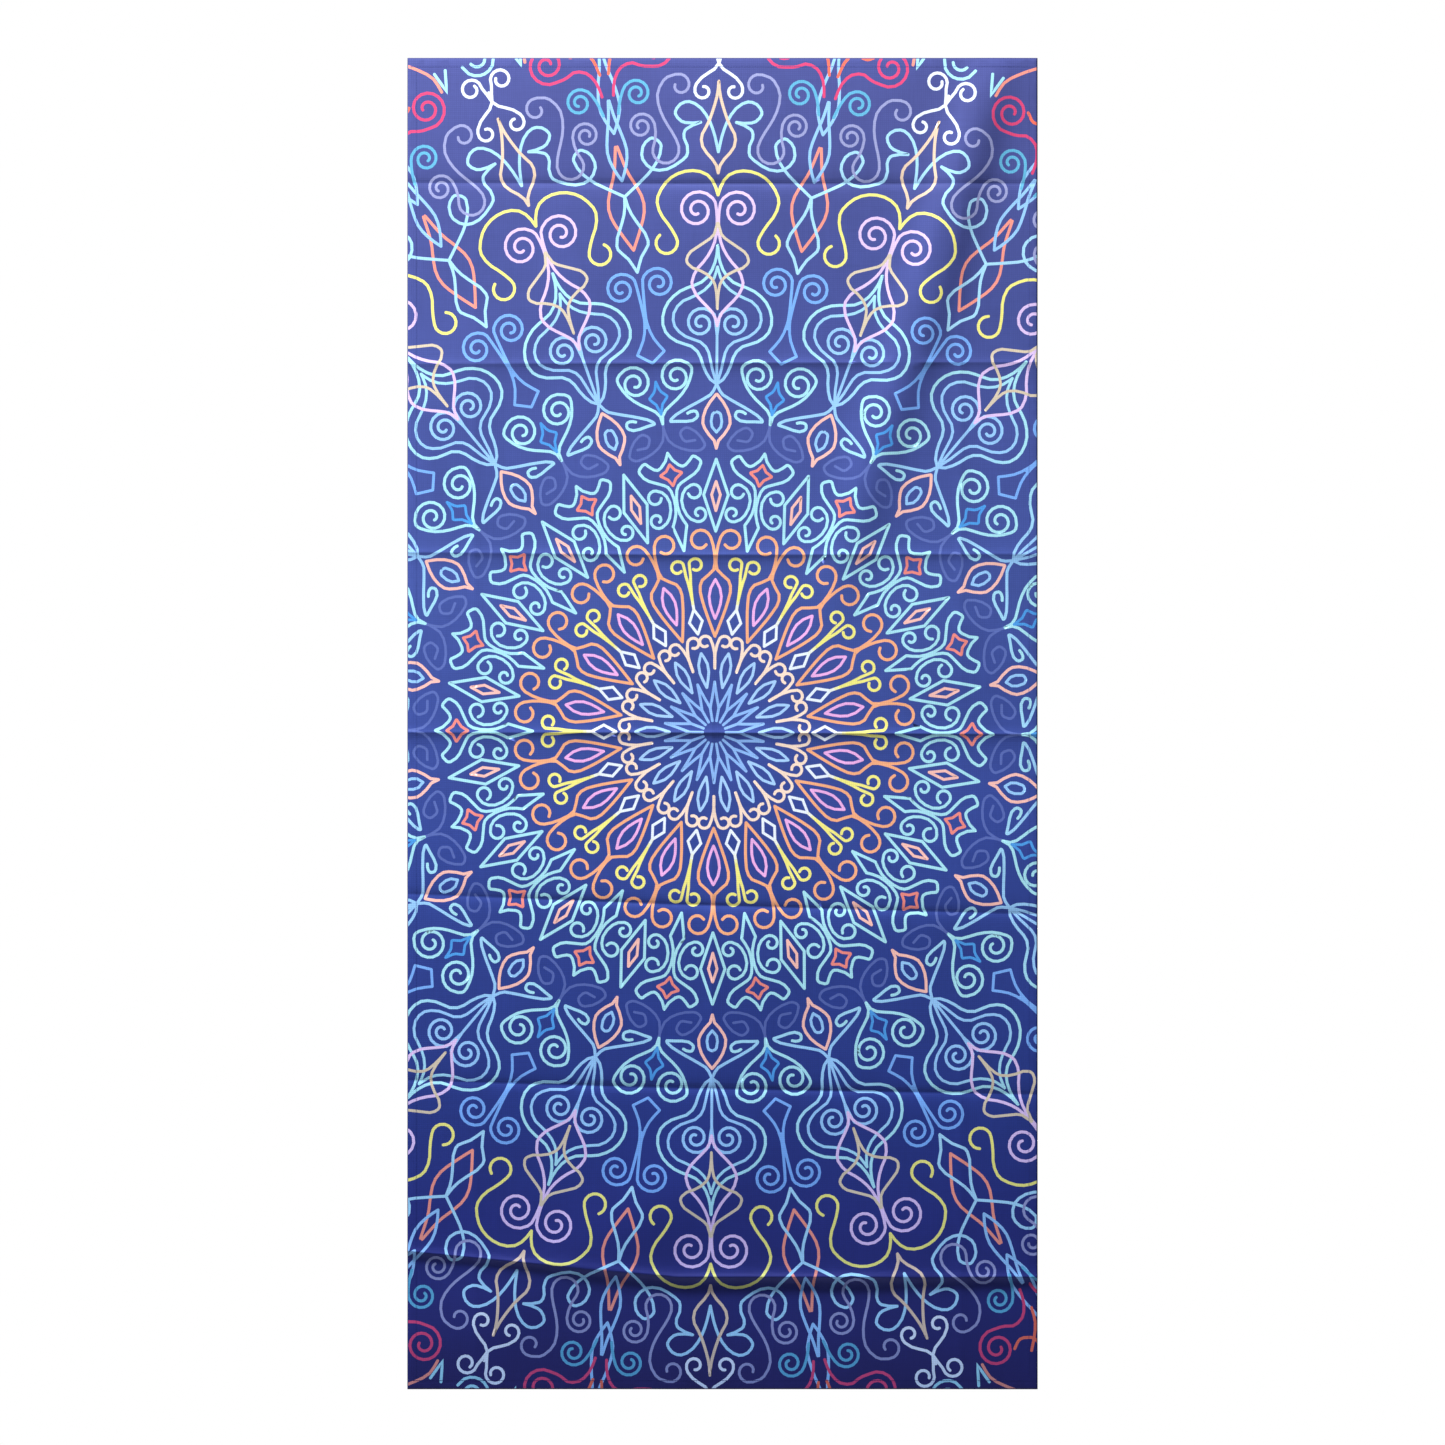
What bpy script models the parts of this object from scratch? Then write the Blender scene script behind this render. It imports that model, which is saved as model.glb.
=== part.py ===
"""Printed cloth tapestry, built as sewn pieces: a cloth panel, four turned hems and their seam threads.

The print faces -Y and the wall is the plane y = 0, which the backs of the hems touch. +X runs to the
right of someone who looks at the print, and +Z runs up. The origin is the middle of the strip of the
top hem, above its seam, that pins or tacks go through. The panel folds in half across its width, so
each piece that crosses that fold is made in two lengths, and the lower ones hang from the fold's axis.
Lengths are in metres.
"""

import bmesh
import bpy

# Driving dimensions.
WIDTH = 0.710
HEIGHT = 1.500
CLOTH_THICKNESS = 0.0004
HEM_WIDTH = 0.012
HEM_THICKNESS = 0.0012
THREAD_DIAMETER = 0.0004
SEAM_INSET = 0.002  # from a hem's inner edge to its stitch line
FOLD_DROP = 0.761  # from the top edge down to the line that the panel folds on
FOLD_LOOP = 0.008  # from the print's face to the fold's axis: the radius of the soft loop at the fold

# Clearances.
PIECE_GAP = 0.0003  # between two pieces that touch
THREAD_END = 0.002  # a seam stops this far short of its hem's ends
CUTTER_OVERRUN = 0.001  # how far a cutter passes the faces that it cuts

# Finishes: colour as linear red, green and blue, then roughness.
PRINTED_CLOTH = ("printed_polyester_cloth", (0.020, 0.035, 0.260), 0.55)
HEM_CLOTH = ("turned_hem_cloth", (0.045, 0.065, 0.300), 0.60)
SEAM_THREAD = ("polyester_seam_thread", (0.015, 0.022, 0.120), 0.50)

# Places that follow from the dimensions above.
GROOVE_WIDTH = THREAD_DIAMETER + 2 * PIECE_GAP
GROOVE_DEPTH = THREAD_DIAMETER + PIECE_GAP
PIN_STRIP = HEM_WIDTH - SEAM_INSET - GROOVE_WIDTH / 2
TOP = PIN_STRIP / 2
BOTTOM = TOP - HEIGHT
FOLD = TOP - FOLD_DROP
SIDE = WIDTH / 2
SEAM_OFFSET = HEM_WIDTH - SEAM_INSET  # from the cloth's edge to the stitch line

HEM_FRONT = -HEM_THICKNESS
CLOTH_BACK = HEM_FRONT - PIECE_GAP
CLOTH_FRONT = CLOTH_BACK - CLOTH_THICKNESS
NEEDLE_THREAD_Y = CLOTH_FRONT - PIECE_GAP - THREAD_DIAMETER / 2
BOBBIN_THREAD_Y = -THREAD_DIAMETER / 2
FOLD_AXIS_Y = CLOTH_FRONT - FOLD_LOOP


def clear_scene():
    for item in list(bpy.data.objects):
        bpy.data.objects.remove(item, do_unlink=True)


def make_collection(name, hidden=False):
    collection = bpy.data.collections.new(name)
    collection.hide_render = hidden
    bpy.context.scene.collection.children.link(collection)
    return collection


def make_material(name, colour, roughness):
    material = bpy.data.materials.new(name)
    material.use_nodes = True
    shader = material.node_tree.nodes["Principled BSDF"]
    shader.inputs["Base Color"].default_value = (*colour, 1.0)
    shader.inputs["Roughness"].default_value = roughness
    shader.inputs["Metallic"].default_value = 0.0
    return material


def place(item, collection, parent):
    """Put an object in its collection, hanging from its body's empty without moving it."""
    collection.objects.link(item)
    item.parent = parent
    item.matrix_parent_inverse = parent.matrix_world.inverted()


def make_empty(name, location, collection):
    empty = bpy.data.objects.new(name, None)
    empty.location = location
    empty.empty_display_size = 0.05
    collection.objects.link(empty)
    bpy.context.view_layer.update()
    return empty


def make_box(name, low, high, collection, parent):
    """A plain slab between two opposite corners, with its origin at its centre."""
    size = [top - bottom for bottom, top in zip(low, high)]
    mesh = bpy.data.meshes.new(name)
    shape = bmesh.new()
    bmesh.ops.create_cube(shape, size=1.0)
    bmesh.ops.scale(shape, vec=size, verts=shape.verts)
    shape.to_mesh(mesh)
    shape.free()
    slab = bpy.data.objects.new(name, mesh)
    slab.location = [(bottom + top) / 2 for bottom, top in zip(low, high)]
    place(slab, collection, parent)
    return slab


def make_thread(name, start, end, material, collection, parent):
    """One straight run of seam thread with closed ends."""
    curve = bpy.data.curves.new(name, "CURVE")
    curve.dimensions = "3D"
    curve.bevel_depth = THREAD_DIAMETER / 2
    curve.bevel_resolution = 2
    curve.use_fill_caps = True
    run = curve.splines.new("POLY")
    run.points.add(1)
    run.points[0].co = (*start, 1.0)
    run.points[1].co = (*end, 1.0)
    curve.materials.append(material)
    thread = bpy.data.objects.new(name, curve)
    place(thread, collection, parent)
    return thread


def make_cloth(name, low_z, high_z, parts, parent):
    cloth = make_box(
        name, (-SIDE, CLOTH_FRONT, low_z), (SIDE, CLOTH_BACK, high_z), parts, parent
    )
    cloth.data.materials.append(finishes["cloth"])
    return cloth


def make_hem(name, low, high, groove_low, groove_high, parent):
    """A folded hem strip, with a groove in its back that the bobbin thread is pulled into."""
    hem = make_box(
        name, (low[0], HEM_FRONT, low[1]), (high[0], 0.0, high[1]), parts, parent
    )
    hem.data.materials.append(finishes["hem"])
    cutter = make_box(
        name + "_groove",
        (groove_low[0], -GROOVE_DEPTH, groove_low[1]),
        (groove_high[0], CUTTER_OVERRUN, groove_high[1]),
        cutters,
        parent,
    )
    cutter.hide_render = True
    cutter.display_type = "WIRE"
    groove = hem.modifiers.new("stitch_groove", "BOOLEAN")
    groove.operation = "DIFFERENCE"
    groove.solver = "EXACT"
    groove.object = cutter
    return hem


def make_seam(name, start, end, parent):
    """The two threads of a lockstitch seam: the needle's on the print, the bobbin's on the back."""
    for thread, depth in (("needle", NEEDLE_THREAD_Y), ("bobbin", BOBBIN_THREAD_Y)):
        make_thread(
            f"{name}_{thread}_thread",
            (start[0], depth, start[1]),
            (end[0], depth, end[1]),
            finishes["thread"],
            parts,
            parent,
        )


def make_cross_hem(name, edge, inward, parent):
    """The top or bottom hem, across the full width. inward is -1 below an edge and 1 above it."""
    inner = edge + inward * HEM_WIDTH
    seam = edge + inward * SEAM_OFFSET
    make_hem(
        name,
        (-SIDE, min(edge, inner)),
        (SIDE, max(edge, inner)),
        (-SIDE - CUTTER_OVERRUN, seam - GROOVE_WIDTH / 2),
        (SIDE + CUTTER_OVERRUN, seam + GROOVE_WIDTH / 2),
        parent,
    )
    make_seam(name, (-SIDE + THREAD_END, seam), (SIDE - THREAD_END, seam), parent)


def make_side_hem(name, sign, low_z, high_z, parent):
    """One length of a side hem, between a cross hem and the fold. sign is -1 left and 1 right."""
    outer = sign * SIDE
    inner = sign * (SIDE - HEM_WIDTH)
    seam = sign * (SIDE - SEAM_OFFSET)
    make_hem(
        name,
        (min(outer, inner), low_z),
        (max(outer, inner), high_z),
        (seam - GROOVE_WIDTH / 2, low_z - CUTTER_OVERRUN),
        (seam + GROOVE_WIDTH / 2, high_z + CUTTER_OVERRUN),
        parent,
    )
    make_seam(name, (seam, low_z + THREAD_END), (seam, high_z - THREAD_END), parent)


clear_scene()
parts = make_collection("printed_cloth_tapestry")
cutters = make_collection("groove_cutters", hidden=True)
finishes = {
    "cloth": make_material(*PRINTED_CLOTH),
    "hem": make_material(*HEM_CLOTH),
    "thread": make_material(*SEAM_THREAD),
}
upper_half = make_empty("upper_half", (0.0, 0.0, 0.0), parts)
lower_half = make_empty("lower_half", (0.0, FOLD_AXIS_Y, FOLD), parts)

fold_top = FOLD + PIECE_GAP / 2
fold_bottom = FOLD - PIECE_GAP / 2
side_top = TOP - HEM_WIDTH - PIECE_GAP
side_bottom = BOTTOM + HEM_WIDTH + PIECE_GAP

make_cloth("cloth_upper", fold_top, TOP, parts, upper_half)
make_cloth("cloth_lower", BOTTOM, fold_bottom, parts, lower_half)
make_cross_hem("top_hem", TOP, -1, upper_half)
make_cross_hem("bottom_hem", BOTTOM, 1, lower_half)
for side, sign in (("left", -1), ("right", 1)):
    make_side_hem(f"{side}_hem_upper", sign, fold_top, side_top, upper_half)
    make_side_hem(f"{side}_hem_lower", sign, side_bottom, fold_bottom, lower_half)
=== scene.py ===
# %% [markdown]
# # A printed wall hanging
#
# The real object is one thin polyester panel, printed on the front with an ornamental roundel,
# turned back and sewn down along its four edges. It has been folded small, so it
# hangs with the sharp lines of its folds still in it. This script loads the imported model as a
# fixed frame, then replaces each plain solid with cloth, hems and stitches that have the real look.

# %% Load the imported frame
import math

import bmesh
import bpy
import numpy as np
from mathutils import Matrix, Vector
from mathutils.geometry import delaunay_2d_cdt


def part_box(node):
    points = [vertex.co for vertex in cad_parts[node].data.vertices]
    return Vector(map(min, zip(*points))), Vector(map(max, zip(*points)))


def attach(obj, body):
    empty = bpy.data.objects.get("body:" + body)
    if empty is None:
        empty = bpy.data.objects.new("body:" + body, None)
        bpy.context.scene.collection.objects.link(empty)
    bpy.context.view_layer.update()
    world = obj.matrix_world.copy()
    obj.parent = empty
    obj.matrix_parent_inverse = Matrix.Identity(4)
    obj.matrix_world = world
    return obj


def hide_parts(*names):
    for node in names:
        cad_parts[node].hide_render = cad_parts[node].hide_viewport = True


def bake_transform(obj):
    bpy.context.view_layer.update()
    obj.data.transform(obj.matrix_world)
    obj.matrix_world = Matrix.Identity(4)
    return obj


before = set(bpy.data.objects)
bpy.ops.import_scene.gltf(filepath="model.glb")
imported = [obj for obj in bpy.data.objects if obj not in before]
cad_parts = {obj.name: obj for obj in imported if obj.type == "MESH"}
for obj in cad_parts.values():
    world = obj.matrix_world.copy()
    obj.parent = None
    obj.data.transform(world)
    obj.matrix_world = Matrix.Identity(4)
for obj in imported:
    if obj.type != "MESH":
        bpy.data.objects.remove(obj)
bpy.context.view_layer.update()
MM = 0.001

# %% Sizes taken from the frame
cloth_low, cloth_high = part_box("cloth_upper")
lower_low, lower_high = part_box("cloth_lower")
LEFT = cloth_low[0]
RIGHT = cloth_high[0]
TOP = cloth_high[2]
BOTTOM = lower_low[2]
CLOTH_FRONT = cloth_low[1]
CLOTH_BACK = cloth_high[1]
THICKNESS = CLOTH_BACK - CLOTH_FRONT
WIDTH = RIGHT - LEFT
HEIGHT = TOP - BOTTOM
HEM_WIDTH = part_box("top_hem")[1][2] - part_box("top_hem")[0][2]
HEM_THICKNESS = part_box("top_hem")[1][1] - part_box("top_hem")[0][1]
seam_low, seam_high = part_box("top_hem_needle_thread")
SEAM_IN = TOP - (seam_low[2] + seam_high[2]) / 2
THREAD = seam_high[2] - seam_low[2]

print(f"hem {HEM_WIDTH / MM:.1f} mm wide, seam {SEAM_IN / MM:.1f} mm in, thread {THREAD / MM:.2f} mm")

# %% [markdown]
# ## How the cloth hangs
#
# A light panel pinned by its top edge hangs almost flat. What shows is how it was
# folded: seven sharp lines across it and three faint ones down it, each either a ridge that
# stands forward or a valley. A few wide, soft rolls run across the panel as well. One formula for
# how far the cloth stands forward at each place keeps the print, the hems and the stitches together.

# %% Fold lines and soft rolls
# Each fold line: how far below the top edge at the left edge, at the bend and at the right edge,
# its height (valleys are negative), and how far the cloth falls back just below it, all in mm.
BEND = -50
ACROSS = [
    (141, 142, 142, -1.7, 0.0),
    (345, 344, 343, 1.4, 0.3),
    (557, 560, 559, 1.5, 0.5),
    (760, 760, 762, 1.8, 0.8),
    (942, 954, 965, -1.9, 0.0),
    (1152, 1161, 1168, -2.2, 0.0),
    (1344, 1373, 1373, 3.9, 2.0),
]
# Each fold line down the cloth: how far right of the middle, height in mm.
DOWN = [(-279, 0.4), (-12, 0.45), (268, 0.55)]
# Each roll: from (x, depth) to (x, depth), half width and height, all in mm.
ROLLS = [
    ((318, -30), (140, 560), 28, 5.0),
    ((290, 60), (235, 330), 24, 1.0),
    ((-330, 880), (60, 1010), 60, 2.2),
    ((60, 1010), (330, 900), 60, 1.8),
    ((-300, 1440), (30, 1230), 45, 2.4),
    ((330, 1480), (120, 1260), 50, 2.2),
    ((-350, 420), (-150, 250), 60, 1.6),
    ((-40, 1500), (-90, 1380), 30, 1.2),
]
# How far each side of a fold line its tent, its sharp middle and the fall below it reach, in mm.
CREASE_REACH = 5.5
CREASE_EDGE = 1.4
FALL_REACH = 24.0
# The fold lines are strongest near the middle of the cloth, and weaker towards its sides.
STRONGEST = 20
STRONG_REACH = 260
SIDE_STRENGTH = 0.55
# How soft the ends of a roll are, and the height of a slight ripple over the whole cloth, in mm.
ROLL_END = 45
RIPPLE = 0.35
# How far the cloth stands off the wall before its folds and rolls are added, and the most that it
# comes forward of where it would lie flat, in mm. It is held closer to the wall near its top edge,
# where it is pinned.
STAND_OFF = 4.2
MOST = 7.3
HELD = 0.8
HELD_REACH = 30


def crease(distance, height):
    """A fold line's section: a wide tent with a tighter, sharper line along its middle."""
    tent = np.exp(-(np.sqrt(distance**2 + 1.2) - 1.1) / CREASE_REACH)
    sharp = np.exp(-(np.sqrt(distance**2 + 0.3) - 0.55) / CREASE_EDGE)
    return height * (0.82 * tent + 0.18 * sharp)


def soft_floor(value, edge=0.4):
    """The value where it is above zero, easing to zero below."""
    return edge * np.logaddexp(0, value / edge)


def forward(x, z):
    """How far the cloth's front stands from the wall, in metres, at frame positions x and z."""
    across = np.asarray(x) / MM
    depth = (TOP - np.asarray(z)) / MM
    rise = np.full(np.broadcast(across, depth).shape, STAND_OFF)
    for left, middle, right, height, fall in ACROSS:
        near_middle = np.exp(-(((across - STRONGEST) / STRONG_REACH) ** 4))
        strength = SIDE_STRENGTH + (1 - SIDE_STRENGTH) * near_middle
        below = depth - np.interp(across, (LEFT / MM, BEND, RIGHT / MM), (left, middle, right))
        rise = rise + crease(below, height) * strength
        past = np.maximum(below, 0) / FALL_REACH
        rise = rise - fall * past * np.exp(1 - past)
    for place, height in DOWN:
        strength = 0.6 + 0.4 * np.sin(depth / 130 + place)
        rise = rise + crease(across - place, height) * strength
    for start, end, half_width, height in ROLLS:
        run = np.subtract(end, start)
        length = np.hypot(*run)
        along = ((across - start[0]) * run[0] + (depth - start[1]) * run[1]) / length
        aside = ((across - start[0]) * run[1] - (depth - start[1]) * run[0]) / length
        fade_in = 1 / (1 + np.exp(-(along + 20) / ROLL_END))
        fade = fade_in / (1 + np.exp((along - length) / ROLL_END))
        rise = rise + height * fade * np.exp(-((aside / half_width) ** 2))
    rise = rise + RIPPLE * np.sin(across / 57 + depth / 140) * np.sin(depth / 97)
    flat = -CLOTH_FRONT / MM
    free = 1 - HELD * np.exp(-np.maximum(depth, 0) / HELD_REACH)
    return (flat + MOST - soft_floor(MOST - soft_floor(rise - flat) * free)) * MM


grid_x, grid_z = np.meshgrid(np.linspace(LEFT, RIGHT, 200), np.linspace(BOTTOM, TOP, 400))
reach = forward(grid_x, grid_z) / MM
print(f"the cloth stands {reach.min():.2f} to {reach.max():.2f} mm forward, {reach.mean():.2f} on average")

# %% [markdown]
# ## Drawing the print
#
# The print is a roundel of eighteen equal slices, drawn in lines of dye about 3 mm wide on a
# blue ground. Each line is a short list of points in millimetres, given as (sideways, outward) from
# the axis of a slice, with every curl as a formula. One slice is drawn once, mirrored, and turned
# round the middle. Its lines make leaves, lozenges, curls and onion shapes.


# %% Lines and curls
def curl(centre, first_radius, last_radius, first_angle, last_angle):
    """Points of a spiral in mm. Angles are in degrees, clockwise from outward."""
    steps = max(3, round(abs(last_angle - first_angle) / 30))
    points = []
    for step in range(steps + 1):
        part = step / steps
        angle = math.radians(first_angle + (last_angle - first_angle) * part)
        radius = first_radius + (last_radius - first_radius) * part
        points.append((centre[0] + radius * math.sin(angle), centre[1] + radius * math.cos(angle)))
    return points


def through(*points):
    """A smooth line through the points: centripetal Catmull-Rom, in steps of about 1 mm."""
    points = np.array(points, float)
    ends = [2 * points[0] - points[1]], [2 * points[-1] - points[-2]]
    points = np.vstack([ends[0], points, ends[1]])
    line = []
    for a, b, c, d in zip(points, points[1:], points[2:], points[3:]):
        gaps = [max(math.dist(*pair), 1e-6) ** 0.5 for pair in ((a, b), (b, c), (c, d))]
        k1, k2, k3 = np.cumsum(gaps)
        steps = max(2, math.ceil(math.dist(b, c)))
        t = np.linspace(k1, k2, steps, endpoint=False)[:, None]
        first = ((k1 - t) * a + t * b) / k1
        second = ((k2 - t) * b + (t - k1) * c) / (k2 - k1)
        third = ((k3 - t) * c + (t - k2) * d) / (k3 - k2)
        left = ((k2 - t) * first + t * second) / k2
        right = ((k3 - t) * second + (t - k1) * third) / (k3 - k1)
        line.append(((k2 - t) * left + (t - k1) * right) / (k2 - k1))
    return np.vstack([*line, points[-2:-1]])


def corners(*points):
    """A line of straight runs through the points."""
    points = np.array(points, float)
    runs = [
        np.linspace(a, b, max(2, round(math.dist(a, b) / 7) + 1))[:-1]
        for a, b in zip(points, points[1:])
    ]
    return np.vstack([*runs, points[-1:]])


def thin_out(line, turn=20, longest=9.5):
    """Keeps only the points that the line's bends need: one every `turn` degrees or `longest` mm."""
    runs = np.diff(line, axis=0)
    lengths = np.hypot(*runs.T)
    headings = np.unwrap(np.arctan2(runs[:, 1], runs[:, 0]))
    kept = [0]
    gone = 0.0
    for index in range(1, len(line) - 1):
        gone += lengths[index - 1]
        bent = abs(headings[index] - headings[kept[-1]])
        if bent > math.radians(turn) or gone + lengths[index] > longest:
            kept.append(index)
            gone = 0.0
    return line[kept + [len(line) - 1]]


# %% The roundel's repeat
SLICES = 18
SLICE = 2 * math.pi / SLICES
LINE_WIDTH = 3.3
strokes = []


def turned(points, angle):
    """Points (sideways, outward) turned clockwise about the middle of the roundel."""
    side = points[:, 0] * math.cos(angle) + points[:, 1] * math.sin(angle)
    out = points[:, 1] * math.cos(angle) - points[:, 0] * math.sin(angle)
    return np.stack([side, out], axis=1)


def draw(line, *inks, between=False, single=False, width=LINE_WIDTH, cover=1.0):
    """Prints the line on the axis of each slice, or between slices, and mirrored unless single.

    Where two inks are given, the colour runs from the first to the second along the line.
    Cover is how much of the ground the dye hides. Only copies near the first half slice are kept,
    because the rest of the roundel is made from that half slice later.
    """
    line = thin_out(line)
    for slice_number in (-1, 0, 1):
        for flip in (1,) if single else (1, -1):
            angle = SLICE * (slice_number + (0.5 if between else 0))
            points = turned(line * (flip, 1), angle)
            strokes.append((points, inks, width, cover))


# %% Dye colours
STAR = "#8DBAF4"
LEAF_BLUE = "#A6D0FA"
CREAM = "#FBE2CC"
ORANGE = "#F9B082"
ROSE = "#F0B2E8"
WHITE = "#E9F5FF"
YELLOW = "#F6F084"
AQUA = "#A9E6F2"
BLUSH = "#F9C2B6"
CORAL = "#F08C82"
MIST = "#8FA6F0"
PALE_BLUE = "#97CBF8"
STRONG_BLUE = "#4B9CE4"
BLUE = "#79AFF4"
LILAC = "#E2C8F3"
KHAKI = "#D9CBB0"
SKY = "#A9DFFA"
SAND = "#E9CFB2"
MAUVE = "#B9BFEA"
TEAL = "#66BFE0"
SALMON = "#F79A88"
CRIMSON = "#E04878"
FLAME = "#F8745C"

# %% The middle of the roundel: star, leaves and a ring of small curls
draw(through((0, 57), (2, 43), (5, 27)), STAR, width=3.1)
draw(corners((0, 28.5), (0, 13)), STAR, between=True, single=True, width=3.0)
draw(through((0, 51), (3, 60), (5.5, 71), (4.5, 80), (0, 90)), LEAF_BLUE, between=True, width=3.1)
draw(through((0, 72), (0, 86), (2, 97), *curl((11.3, 101.5), 7.2, 5, -55, 215)), CREAM)

# %% Orange leaves on stems, with lozenges and yellow curls between them
leaf = through((0, 108), (7, 126), (14, 146), (17.5, 162), (15, 171), (8, 177), (2, 183), (0.5, 191))
draw(leaf, ORANGE)
draw(through((0.6, 184), (1, 200), (4, 215), *curl((17.5, 216), 12, 8.5, -60, 235)), ORANGE)
draw(through((0, 128), (4, 138), (7, 151), (5, 163), (0, 172)), ROSE, width=3.1)
draw(corners((0, 112), (7.5, 126), (0, 140)), WHITE, between=True, width=3.1)
draw(corners((0, 139), (0, 152)), WHITE, YELLOW, between=True, single=True)
draw(through((0, 151), (1, 167), (3, 181), *curl((10.5, 189), 7.8, 5.6, -60, 222)), YELLOW, between=True)

# %% Tall lozenges, scrolls and crowns
draw(corners((0, 226), (14, 267), (0, 307)), AQUA)
draw(corners((0, 249), (5, 267), (0, 282)), BLUSH, width=3.1)
scroll = through(
    *curl((25, 270.5), 7, 8, 110, 375), (35, 273), (39, 262), (36, 249), (29, 240),
    *curl((19, 246), 9.5, 3, 170, 515),
)
draw(scroll, AQUA)
crown_top = ((0, 318), (5, 308), (14, 301), (20, 303), (28, 310), (35.5, 303), (30, 293), (17, 286))
crown_stem = ((6, 280), (2, 270), (1.5, 252), (5, 241), (8, 235))
draw(through(*crown_top, *crown_stem), AQUA, between=True)
draw(corners((8, 235), (0, 207)), AQUA, between=True)
draw(through((0, 305), (5, 298), (12, 294), (5, 289), (0, 281)), CORAL, between=True, width=3.1)

# %% Faint scrolls and coral leaves
mist = through((61, 344), (54, 327), (38, 318), (18, 317), (13, 323), (24, 338), (35, 342), (41, 336),
               (36, 327), (24, 328))
draw(mist, MIST, width=2.9, cover=0.26)
draw(through((0, 319), (2, 327), (9, 335), (15.5, 347), (13, 361), (6, 373), (0, 380)), BLUSH)
draw(through((0, 337), (5, 343), (6, 351), (4, 358), (0, 360)), PALE_BLUE, width=3.1)

# %% Wings and hearts of curls
wing = through((0, 391), (6, 380), (17, 373), (36, 362.5), (50, 353), (52, 349), (43, 349), (27, 350),
               (21.5, 355), (23, 360), (28, 360.5), (33, 358))
draw(wing, PALE_BLUE, AQUA)
heart = through((0, 351), (-1, 359), (-6, 366), (-21, 376), (-34, 388), *curl((-24, 401), 20, 4, -70, 550))
draw(heart, AQUA, between=True)
draw(through((0, 399), (3.5, 388), (10, 381), (4, 374), (0, 362)), STRONG_BLUE, between=True, width=3.0)

# %% Onion shapes with curls inside
onion = through((0, 391), (8, 397), (15, 410), (20.5, 425), (29, 433), (45, 438), (58, 448), (62, 462),
                (57, 480), (43, 494), (16, 506), (7, 517), (1.5, 532), (0, 546))
draw(onion, PALE_BLUE, AQUA, AQUA)
inner_onion = through((0, 391), (5, 407), (11, 430), (19, 438), (35, 443.5), (48, 455), (49.5, 469),
                      (41, 482), (24, 490), (11, 499), (3, 511), (0, 522))
draw(inner_onion, PALE_BLUE, PALE_BLUE, AQUA, width=3.1)
draw(corners((0, 390), (0, 456)), PALE_BLUE, single=True, width=3.1)
draw(through((0, 446), (1.5, 458), (3.5, 469), *curl((18.5, 459), 17.5, 3.5, -50, 550)), PALE_BLUE)

# %% Blue stems with double curls
draw(corners((0, 420), (15.5, 431.5)), BLUE, between=True, width=3.1)
draw(through((15.5, 431.5), (6.5, 446), (2.5, 458), (1, 470)), BLUE, between=True, width=3.1)
draw(through((0.5, 460), (1.5, 483), (3, 500), *curl((21.5, 507), 18.5, 3.5, -62, 558)), BLUE, between=True)

# %% Lilac, khaki and yellow: crossing shapes and hearts
lilac = through((0, 456), (3.5, 468), (13, 479), (24, 490.5), (29, 503.5), (24, 518), (13, 531),
                (4, 548), (1, 566), (1.5, 585), *curl((23.5, 585), 22.3, 4, -62, 558))
draw(lilac, LILAC)
khaki = through((0, 475), (1, 493), (5, 507), (16, 516), (29, 521), (35, 528), (32, 537), (18, 547),
                (4.5, 557.5), (0.5, 571))
draw(khaki, KHAKI, width=3.1)
yellow_heart = through((0, 602), (5, 616), (13, 625), (26, 629), (42, 627), (56, 619), (65, 607),
                       (69, 595), (65, 581), (53.5, 565.5), (46, 552),
                       *curl((58.5, 548.5), 13, 11, -95, -320))
draw(yellow_heart, YELLOW)

# %% Coral lenses and looped sky-blue lines
lens = through((0, 548), (10, 567), (19, 588), (20, 602), (15, 618), (7.5, 636), (1, 665))
draw(lens, SALMON, between=True)
kite = through((0, 523), (8, 540), (17.5, 552), (16.5, 563), (10, 576), (3, 592), (0, 609))
draw(kite, SKY, between=True)
loop = through((0, 608.5), (16.5, 619.5), (35, 633), (46.5, 647), (50, 660), (41.5, 668), (30.5, 661.5),
               (27, 647), (36.5, 633.5), (53.5, 631), (71.5, 638))
draw(loop, SKY, between=True)
shoulder = through((20, 683), (30.5, 679), (38, 673.5), (39, 666), (35, 656), (35.5, 646), (40.4, 640.7))
draw(shoulder, SKY)
ear = through((0, 650), (5, 671), (12, 688), (22.5, 701), (34, 706), (44, 702.5), (49, 693), (42, 684),
              (31.5, 682), (20, 683))
draw(ear, SKY)
draw(through((0, 626.5), (3, 637), (17.5, 655), (19, 667.5), (11, 683.5), (1.5, 714), (0, 729)), SAND)

# %% Long lenses, white curls, and the scrolls near the border
draw(through((0, 626.5), (6.5, 640), (11, 658), (8, 679), (3.5, 697), (0.5, 717)), PALE_BLUE, between=True)
draw(through((0, 680), (6, 692), (11.5, 709), (9.5, 732), (3.5, 758), (0.5, 786)), PALE_BLUE, between=True)
draw(corners((0, 748), (0, 760)), WHITE, single=True)
white_top = ((0, 749), (6, 741.5), (17.5, 734.5), (25.5, 725.5))
white_curl = through(*white_top, *curl((17.5, 718), 10, 4.7, 70, 360))
draw(white_curl, WHITE)
draw(through((0, 749), (1.5, 755.5), (5, 763.5), *curl((18, 769.5), 12, 6, -75, 300)), WHITE)
scroll_start = (*curl((44, 724), 5.5, 13, 80, 376), (60.5, 731.5), (69, 716), (68, 702))
scroll_end = ((71, 666.5), (71.5, 675.5), *curl((87.5, 678), 15.3, 3.8, -75, 485))
mauve = through(*scroll_start, (61.5, 686), (52, 671), (45, 657), *curl((59.5, 652), 15, 15, 255, 100),
                *scroll_end)
draw(mauve, MAUVE, width=3.1, cover=0.62)
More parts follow.
